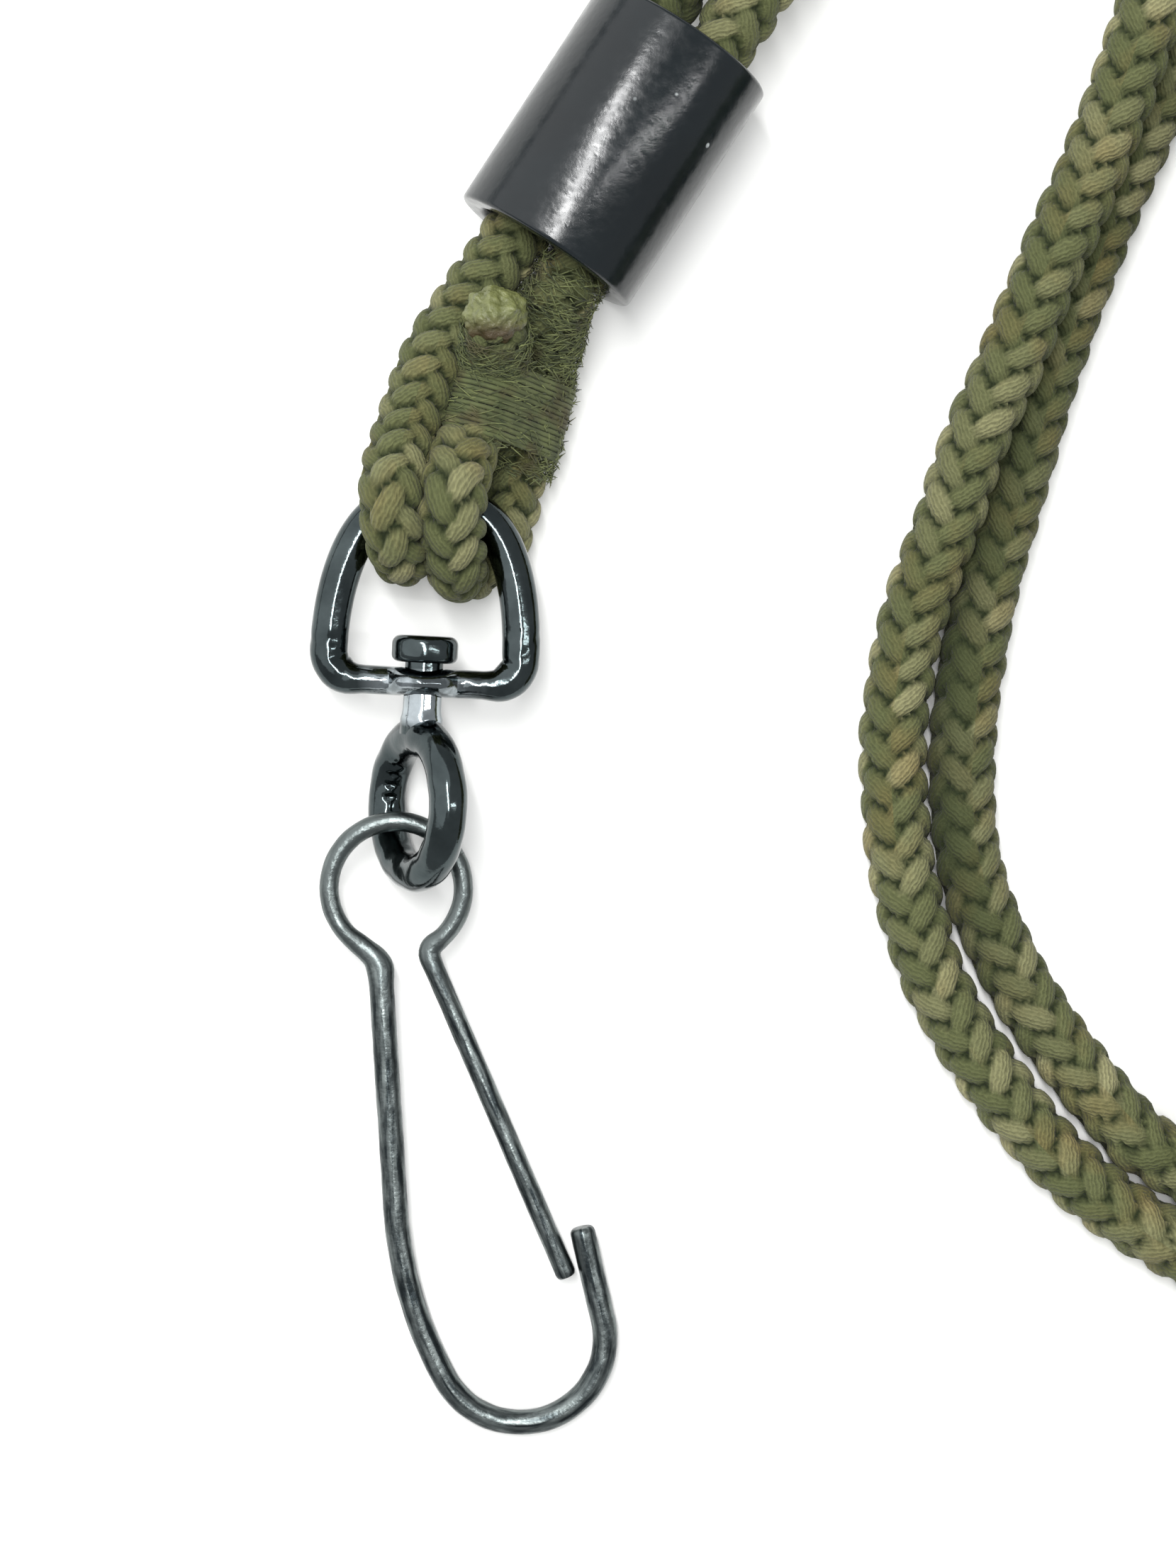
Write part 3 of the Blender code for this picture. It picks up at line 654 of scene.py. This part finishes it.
for name, route, steps in (
    ("tie_wraps", wraps, 1),
    ("tie_knot_left", [TIE_MIDDLE + Vector(p) for p in KNOT_LEFT], 8),
    ("tie_knot_right", [TIE_MIDDLE + Vector(p) for p in KNOT_RIGHT], 8),
):
    line = catmull_rom(route, steps)
    strip = rod(name, line, evenly(lengths_along(line)[-1], 0.5), tape_section, 20, TAPE_GIRTH, tape)
    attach(strip, "cord")
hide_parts("hank_tie")

# Keeper sleeve: a tube of black acetal that both cords run through, cut to length, its edges broken. Its
# polish has gone in patches, with small nicks and rubbed lines from the cords and from pockets.
KEEPER_FOOT = Vector((0.66, 32.48, 7.0))  # centre of the lower mouth
KEEPER_AXIS = Vector((math.cos(math.radians(57.05)), math.sin(math.radians(57.05)), 0.0))
KEEPER_R, KEEPER_BORE_R, KEEPER_LENGTH = 6.95, 5.1, 17.8

# Acetal, moulded glossy and blue-black: scuffs break its highlight up, and dust shows as pale specks.
acetal, shader = new_material("scuffed_black_acetal", 0.3)
place = add_node(acetal, "TexCoord").outputs["Object"]
clouds = add_node(acetal, "TexNoise", {"Vector": place, "Scale": 160.0, "Detail": 5.0}).outputs["Fac"]
scuffs = add_node(acetal, "TexNoise", {"Vector": place, "Scale": 1500.0, "Detail": 4.0}).outputs["Fac"]
dust = add_node(acetal, "TexVoronoi", {"Vector": place, "Scale": 330.0}).outputs["Distance"]
speck = add_node(acetal, "MapRange", {"Value": dust, "From Min": 0.075, "From Max": 0.045}).outputs["Result"]
rare = add_node(acetal, "MapRange", {"Value": clouds, "From Min": 0.5, "From Max": 0.56}).outputs["Result"]
speck = add_node(acetal, "Math", {0: speck, 1: rare}, operation="MULTIPLY").outputs["Value"]
body = add_node(
    acetal, "Mix", {"Factor": clouds, "A": linear("#050A0D"), "B": linear("#111A1E")}, data_type="RGBA"
).outputs["Result"]
body = add_node(
    acetal, "Mix", {"Factor": speck, "A": body, "B": linear("#AEB4B4")}, data_type="RGBA"
).outputs["Result"]
acetal.node_tree.links.new(body, shader.inputs["Base Color"])
dull = add_node(
    acetal, "MapRange", {"Value": scuffs, "From Min": 0.35, "From Max": 0.7, "To Min": 0.16, "To Max": 0.26}
).outputs["Result"]
acetal.node_tree.links.new(dull, shader.inputs["Roughness"])
bump = add_node(acetal, "Bump", {"Height": scuffs, "Strength": 0.2, "Distance": 0.0001}).outputs["Normal"]
acetal.node_tree.links.new(bump, shader.inputs["Normal"])
shader.inputs["Specular IOR Level"].default_value = 0.45


def spin_round(shape, verts, edges, steps):
    """Spins a profile, drawn in the XZ plane, a full turn about Z."""
    bmesh.ops.spin(
        shape, geom=verts + edges, cent=(0.0, 0.0, 0.0), axis=(0.0, 0.0, 1.0), angle=math.tau,
        steps=steps, use_merge=True,
    )


def break_rim(shape, radius, height, size, segments):
    """Rounds off the sharp rim at a radius and a height of a turned shape."""
    rim = [
        edge for edge in shape.edges
        if all(abs(v.co.xy.length - radius) < 0.01 and abs(v.co.z - height) < 0.01 for v in edge.verts)
    ]
    bmesh.ops.bevel(
        shape, geom=rim, offset=size, offset_type="OFFSET", segments=segments, profile=0.5,
        affect="EDGES", material=-1,
    )


shape = bmesh.new()
corners = [
    shape.verts.new((radius, 0.0, height))
    for radius, height in (
        (KEEPER_R, 0.0), (KEEPER_R, KEEPER_LENGTH), (KEEPER_BORE_R, KEEPER_LENGTH), (KEEPER_BORE_R, 0.0)
    )
]
spin_round(shape, corners, [shape.edges.new((corners[i], corners[(i + 1) % 4])) for i in range(4)], 128)
for radius, broken in ((KEEPER_R, 0.3), (KEEPER_BORE_R, 0.55)):
    for height in (0.0, KEEPER_LENGTH):
        break_rim(shape, radius, height, broken, 4)
keeper_frame = Matrix.Translation(KEEPER_FOOT) @ UP.rotation_difference(KEEPER_AXIS).to_matrix().to_4x4()
shape.transform(Matrix.Scale(MM, 4) @ keeper_frame)
keeper = as_piece("keeper_tube", shape, acetal)
keeper.data.set_sharp_from_angle(angle=math.radians(40))
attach(keeper, "keeper")
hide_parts("keeper_sleeve")

# D-ring: round bar bent hot, its straight side forged flat and drilled for the swivel's post. The hammer
# left it dented near both corners.
POST_FRAME = Matrix.Translation((-7.95, 2.2, 6.05)) @ Matrix.Rotation(math.radians(-3), 4, "Z")
POST_FRAME = POST_FRAME @ Matrix.Rotation(math.radians(3), 4, "X")
D_WIRE_R = 1.35
D_HALF_WIDTH = 6.8
D_CORNER_R = 2.0
D_ARCH_HEIGHT = 10.8
D_ARCH_POWER = 2.9  # over 2, so the arch is flatter than an ellipse's
PAD_R = 2.75
PAD_HALF_THICK = 1.02
POST_HOLE_R = 1.65


def blackened_steel(name, worn_spots):
    """Steel blackened in hot oxide and rubbed since: near-black, greyer where it is worn.

    A worn spot is a place in mm, the radius that is bare, the radius where that ends, and the least wear in it.
    """
    steel, shader = new_material(name, 0.2, 1.0)
    place = add_node(steel, "TexCoord").outputs["Object"]
    rubbed = add_node(
        steel, "TexNoise", {"Vector": place, "Scale": 330.0, "Detail": 5.0, "Roughness": 0.6}
    ).outputs["Fac"]
    grit = add_node(steel, "TexNoise", {"Vector": place, "Scale": 2400.0, "Detail": 3.0}).outputs["Fac"]
    metal = add_node(
        steel, "Mix", {"Factor": rubbed, "A": linear("#1C2224"), "B": linear("#586162")}, data_type="RGBA"
    ).outputs["Result"]
    for spot, bare_to, ends_at, least in worn_spots:
        reach = add_node(
            steel, "VectorMath", {0: place, 1: Vector(spot) * MM}, operation="DISTANCE"
        ).outputs["Value"]
        reach = add_node(
            steel, "MapRange", {"Value": reach, "From Min": ends_at * MM, "From Max": bare_to * MM}
        ).outputs["Result"]
        streaks = add_node(
            steel, "MapRange", {"Value": rubbed, "From Min": 0.44, "From Max": 0.58, "To Min": least}
        ).outputs["Result"]
        worn = add_node(steel, "Math", {0: reach, 1: streaks}, operation="MULTIPLY").outputs["Value"]
        metal = add_node(
            steel, "Mix", {"Factor": worn, "A": metal, "B": linear("#A9B1B5")}, data_type="RGBA"
        ).outputs["Result"]
    steel.node_tree.links.new(metal, shader.inputs["Base Color"])
    dull = add_node(steel, "MapRange", {"Value": grit, "To Min": 0.06, "To Max": 0.17}).outputs["Result"]
    steel.node_tree.links.new(dull, shader.inputs["Roughness"])
    bump = add_node(steel, "Bump", {"Height": rubbed, "Strength": 0.12, "Distance": 0.0004}).outputs["Normal"]
    bump = add_node(
        steel, "Bump", {"Height": grit, "Strength": 0.12, "Distance": 0.00005, "Normal": bump}
    ).outputs["Normal"]
    steel.node_tree.links.new(bump, shader.inputs["Normal"])
    return steel


def d_section(point, s, angle):
    """Round bar, flattened and spread where it is forged for the post, with hammer marks near its corners."""
    on_bar = point.y < 0.9
    spread = eased((4.3 - abs(point.x)) / 1.6) if on_bar else 0.0
    flat = eased((6.3 - abs(point.x)) / 2.2) if on_bar else 0.0
    tall = math.sqrt(max(D_WIRE_R**2, PAD_R**2 - point.x**2))
    hammered = noise.noise(Vector((point.x * 0.9, point.y * 0.9 + math.cos(angle), math.sin(angle))))
    dent = 0.16 * max(0.0, hammered) * eased((5.0 - point.y) / 3)
    rise = D_WIRE_R + (tall - D_WIRE_R) * spread - dent
    out = D_WIRE_R + (PAD_HALF_THICK - D_WIRE_R) * flat - dent * (1 - flat)
    return rise * math.cos(angle), out * math.sin(angle)


bar_end = D_HALF_WIDTH - D_CORNER_R
d_line = [Vector((bar_end * (k / 4 - 1), 0.0, 0.0)) for k in range(9)]
for k in range(1, 7):
    angle = math.radians(-90 + 15 * k)
    d_line.append(Vector((bar_end + D_CORNER_R * math.cos(angle), D_CORNER_R * (1 + math.sin(angle)), 0.0)))
for k in range(1, 26):
    angle = math.pi * k / 26
    side = math.copysign(abs(math.cos(angle)) ** (2 / D_ARCH_POWER), math.cos(angle))
    d_line.append(Vector((D_HALF_WIDTH * side, D_CORNER_R + D_ARCH_HEIGHT * math.sin(angle), 0.0)))
for k in range(7):
    angle = math.radians(-180 + 15 * k)
    d_line.append(Vector((-bar_end + D_CORNER_R * math.cos(angle), D_CORNER_R * (1 + math.sin(angle)), 0.0)))
d_smooth = catmull_rom(d_line, 6)
d_ring = rod(
    "d_ring_forged", d_smooth, evenly(lengths_along(d_smooth)[-1], 0.22), d_section, 48, math.tau * D_WIRE_R,
    blackened_steel("blackened_forged_steel", [((-7.9, 2.3, 8.4), 2.6, 4.8, 0.3)]), POST_FRAME, closed=True,
)


def combined(piece, shape, operation):
    """Cuts a bmesh out of a piece, or joins it on, with an exact Boolean, and leaves only the result."""
    other = as_piece("other", shape, piece.data.materials[0])
    boolean = piece.modifiers.new("boolean", "BOOLEAN")
    boolean.operation = operation
    boolean.object = other
    bpy.context.view_layer.update()
    result = bpy.data.meshes.new_from_object(piece.evaluated_get(bpy.context.evaluated_depsgraph_get()))
    piece.modifiers.clear()
    piece.data = result
    bpy.data.objects.remove(other)
    result.shade_smooth()
    result.set_sharp_from_angle(angle=math.radians(38))


shape = bmesh.new()
bmesh.ops.create_cone(shape, cap_ends=True, segments=64, radius1=POST_HOLE_R, radius2=POST_HOLE_R, depth=6.0)
shape.transform(Matrix.Scale(MM, 4) @ POST_FRAME @ Matrix.Rotation(math.radians(90), 4, "X"))
combined(d_ring, shape, "DIFFERENCE")
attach(d_ring, "d_ring")
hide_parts("d_ring")

# Swivel: a cast eye on a turned post. The post goes through the D-ring's bar and is peened over to a button
# inside.
EYE_R, EYE_WIRE_R, EYE_DROP = 4.85, 1.35, 8.7
EYE_TURN = Matrix.Rotation(math.radians(-60.7), 4, "Y")  # it lies turned on its post, nearly edge on
EYE_FRAME = POST_FRAME @ Matrix.Translation((0.0, -EYE_DROP, 0.0)) @ EYE_TURN
DIE_MARKS = (136.0, 149.0, 162.0, 176.0)  # degrees round the eye, each a small dent from the die
POST_PROFILE = (
    (0.0, 3.3), (2.35, 3.3), (2.35, 1.4), (1.36, 1.4), (1.36, -2.1), (1.5, -2.6), (1.5, -3.7), (0.0, -3.7),
)


def eye_section(point, s, angle):
    """Round, a little uneven from casting, thicker at the shoulders under the post, with the die's marks."""
    round_eye = math.degrees(math.atan2(point.y, point.x)) % 360
    shoulder = eased(1 - abs(round_eye - 90) / 42)
    uneven = noise.noise(Vector((point.x * 0.7, point.y * 0.7 + math.cos(angle), math.sin(angle))))
    radius = EYE_WIRE_R + 0.12 * shoulder + 0.07 * uneven
    for mark in DIE_MARKS:
        across = EYE_WIRE_R * ((angle - math.radians(292) + math.pi) % math.tau - math.pi)
        along = math.radians(round_eye - mark) * EYE_R
        radius -= 0.2 * math.exp(-((across / 0.42) ** 2) - (along / 0.27) ** 2)
    return radius * math.cos(angle), radius * math.sin(angle)


eye_line = []
for k in range(121):
    angle = math.tau * k / 120
    eye_line.append(Vector((EYE_R * math.cos(angle), EYE_R * math.sin(angle), 0.0)))
eye_stations = evenly(lengths_along(eye_line)[-1], 0.14)
eye = rod(
    "swivel_eye_cast", eye_line, eye_stations, eye_section, 48, math.tau * EYE_WIRE_R,
    blackened_steel("blackened_cast_steel", [((-7.95, 1.0, 6.4), 1.9, 2.4, 0.75)]), EYE_FRAME, closed=True,
)
shape = bmesh.new()
verts = [shape.verts.new((radius, 0.0, height)) for radius, height in POST_PROFILE]
spin_round(shape, verts, [shape.edges.new(pair) for pair in zip(verts, verts[1:])], 72)
bmesh.ops.remove_doubles(shape, verts=shape.verts, dist=0.0001)
for radius, height, eased_by in ((2.35, 3.3, 0.62), (2.35, 1.4, 0.5), (1.36, -2.1, 0.3)):
    break_rim(shape, radius, height, eased_by, 6)
shape.transform(Matrix.Scale(MM, 4) @ POST_FRAME @ Matrix.Rotation(math.radians(-90), 4, "X"))
combined(eye, shape, "UNION")
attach(eye, "swivel")
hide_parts("swivel_eye")

# Clip: bent from one length of spring wire on a former: ring, hook leg, hook and gate leg. It is modelled
# as two pieces that meet in the ring under the swivel's eye, because the gate leg flexes.
CLIP_FRAME = Matrix.Translation((-10.0, -12.45, 3.62)) @ Matrix.Rotation(math.radians(4.03), 4, "X")
RING_R, RING_WIRE_R, LEG_WIRE_R, GATE_WIRE_R = 4.8, 0.7, 0.9, 0.73
NECK_LEFT, NECK_RIGHT = 230.0, -52.0  # the ring's two ends, as angles round it
MEETING = 28.0  # where the two pieces meet
LEG, BOW, HOOK, TIP = (17.25,), (29.5, 25.0), (6.15, 164.6), (6.9,)  # lengths, or radii and degrees turned
GATE_LENGTH = 25.0
WIRE_END = 0.45  # length over which a cut end is rounded

# Spring steel wire, tempered dark and rubbed bright along its outer side: streaks run along the wire.
spring_wire, shader = new_material("tempered_spring_wire", 0.3, 1.0)
place = add_node(spring_wire, "UVMap", uv_map="round_along").outputs["UV"]
drawn = add_node(spring_wire, "Mapping", {"Vector": place, "Scale": (1.6, 0.22, 1.0)}).outputs["Vector"]
streaks = add_node(spring_wire, "TexNoise", {"Vector": drawn, "Scale": 1.3, "Detail": 5.0}).outputs["Fac"]
spots = add_node(spring_wire, "TexNoise", {"Vector": place, "Scale": 2.2, "Detail": 4.0}).outputs["Fac"]
RUBBED_AT = Vector((-11.5, -10.5, 3.6)) * MM  # where the eye rubs the clip's ring
bare = add_node(spring_wire, "TexCoord").outputs["Object"]
bare = add_node(spring_wire, "VectorMath", {0: bare, 1: RUBBED_AT}, operation="DISTANCE").outputs["Value"]
bare = add_node(
    spring_wire, "MapRange", {"Value": bare, "From Min": 0.0105, "From Max": 0.007, "To Max": 0.6}
).outputs["Result"]
rubbed = add_node(
    spring_wire, "MapRange", {"Value": streaks, "From Min": 0.4, "From Max": 0.66}
).outputs["Result"]
bare = add_node(spring_wire, "Math", {0: bare, 1: rubbed}, operation="MAXIMUM").outputs["Value"]
metal = add_node(
    spring_wire, "Mix", {"Factor": bare, "A": linear("#2E3436"), "B": linear("#757C7B")}, data_type="RGBA"
).outputs["Result"]
spring_wire.node_tree.links.new(metal, shader.inputs["Base Color"])
dull = add_node(spring_wire, "MapRange", {"Value": spots, "To Min": 0.2, "To Max": 0.45}).outputs["Result"]
spring_wire.node_tree.links.new(dull, shader.inputs["Roughness"])
bump = add_node(spring_wire, "Bump", {"Height": spots, "Strength": 0.4, "Distance": 0.0001}).outputs["Normal"]
spring_wire.node_tree.links.new(bump, shader.inputs["Normal"])


def bent_wire(place, heading, bends, step=0.2):
    """Points along a wire in one plane. A bend is (length,) for a straight or (radius, turn) for an arc."""
    points = [Vector((*place, 0.0))]
    for bend in bends:
        turn = bend[1] if len(bend) == 2 else 0.0
        length = abs(bend[0] * math.radians(turn)) if turn else bend[0]
        count = math.ceil(length / step)
        for _ in range(count):
            angle = math.radians(heading + turn / count / 2)
            points.append(points[-1] + Vector((math.cos(angle), math.sin(angle), 0.0)) * length / count)
            heading += turn / count
    return points


def wire_section(thin, thick, grows_at, necks, ends_at):
    """A section that grows from thin to thick, is pinched flatter at the necks, and is rounded at its end."""
    def section(point, s, angle):
        radius = thin + (thick - thin) * eased((s - grows_at) / 2.5)
        left = ends_at - s
        if left < WIRE_END:
            radius *= 0.62 + 0.38 * math.sqrt(max(0.0, 1 - (1 - left / WIRE_END) ** 2))
        pinch = sum(0.13 * eased(1 - abs(s - neck) / 1.6) for neck in necks)
        uneven = 1 + 0.035 * noise.noise(Vector((s * 0.8, math.cos(angle), math.sin(angle) + thin)))
        rise = radius * (1 - pinch) * uneven
        return rise * math.cos(angle), radius * (1 + pinch) * uneven * math.sin(angle)
    return section


def wire_stations(total):
    """Even rings, and close ones where the end is rounded."""
    return evenly(total - WIRE_END, 0.22) + [total - WIRE_END * (1 - k / 6) ** 2 for k in range(1, 7)]


meeting = math.radians(MEETING)
meeting_place = (RING_R * math.cos(meeting), RING_R * math.sin(meeting))
ring_share = RING_R * math.radians(NECK_LEFT - MEETING)
gate_share = RING_R * math.radians(MEETING - NECK_RIGHT)
hook_line = bent_wire(
    meeting_place, MEETING + 90, [(RING_R, NECK_LEFT - MEETING), (1.75,), (1.7, -46.6), LEG, BOW, HOOK, TIP]
)
gate_line = bent_wire(
    meeting_place, MEETING - 90, [(RING_R, NECK_RIGHT - MEETING), (0.3,), (0.95, 75.0), (GATE_LENGTH,)]
)
for name, line, section, body, node in (
    (
        "clip_hook_wire", hook_line,
        wire_section(RING_WIRE_R, LEG_WIRE_R, ring_share + 0.6, (ring_share + 0.8, ring_share + 2.6),
                     lengths_along(hook_line)[-1]),
        "clip", "clip_wire",
    ),
    (
        "clip_gate_wire", gate_line,
        wire_section(RING_WIRE_R, GATE_WIRE_R, gate_share, (gate_share + 0.9,), lengths_along(gate_line)[-1]),
        "gate", "clip_gate",
    ),
):
    stations = wire_stations(lengths_along(line)[-1])
    wire = rod(name, line, stations, section, 40, math.tau * LEG_WIRE_R, spring_wire, CLIP_FRAME)
    if body == "gate":
        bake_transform(wire)
    else:
        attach(wire, body)
    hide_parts(node)

# Floor and light: a white table under a broad window from the upper left, a narrow ceiling lamp, whose
# reflection is the thin bright line on every rod, and a thin tube at the right. The Standard view keeps the
# table white.
bpy.context.scene.view_settings.view_transform = "Standard"
floor = bpy.data.objects.new("floor", bpy.data.meshes.new("floor"))
shape = bmesh.new()
bmesh.ops.create_grid(shape, x_segments=1, y_segments=1, size=3.0)
shape.to_mesh(floor.data)
shape.free()
floor.location.z = -0.0001
bpy.context.scene.collection.objects.link(floor)
paper, shader = new_material("white_table", 0.85)
shader.inputs["Base Color"].default_value = linear("#F4F4F2")
floor.data.materials.append(paper)

world = bpy.data.worlds.new("studio")
bpy.context.scene.world = world
world.use_nodes = True
world.node_tree.nodes["Background"].inputs["Color"].default_value = (0.96, 0.98, 1.0, 1.0)
world.node_tree.nodes["Background"].inputs["Strength"].default_value = 0.5
for name, place, size, power in (
    ("window", (-0.75, 0.5, 0.95), (2.2, 2.2), 16.0),
    ("side_tube", (0.29, -0.03, 0.44), (0.012, 0.34), 0.45),
    ("ceiling_lamp", (-0.04, 0.1, 0.55), (0.05, 0.4), 2.7),
):
    lamp = bpy.data.lights.new(name, "AREA")
    lamp.shape = "RECTANGLE"
    lamp.size, lamp.size_y = size
    lamp.energy = power
    thing = bpy.data.objects.new(name, lamp)
    thing.location = place
    thing.rotation_euler = (-Vector(place)).to_track_quat("-Z", "Y").to_euler()
    bpy.context.scene.collection.objects.link(thing)

bpy.context.view_layer.update()
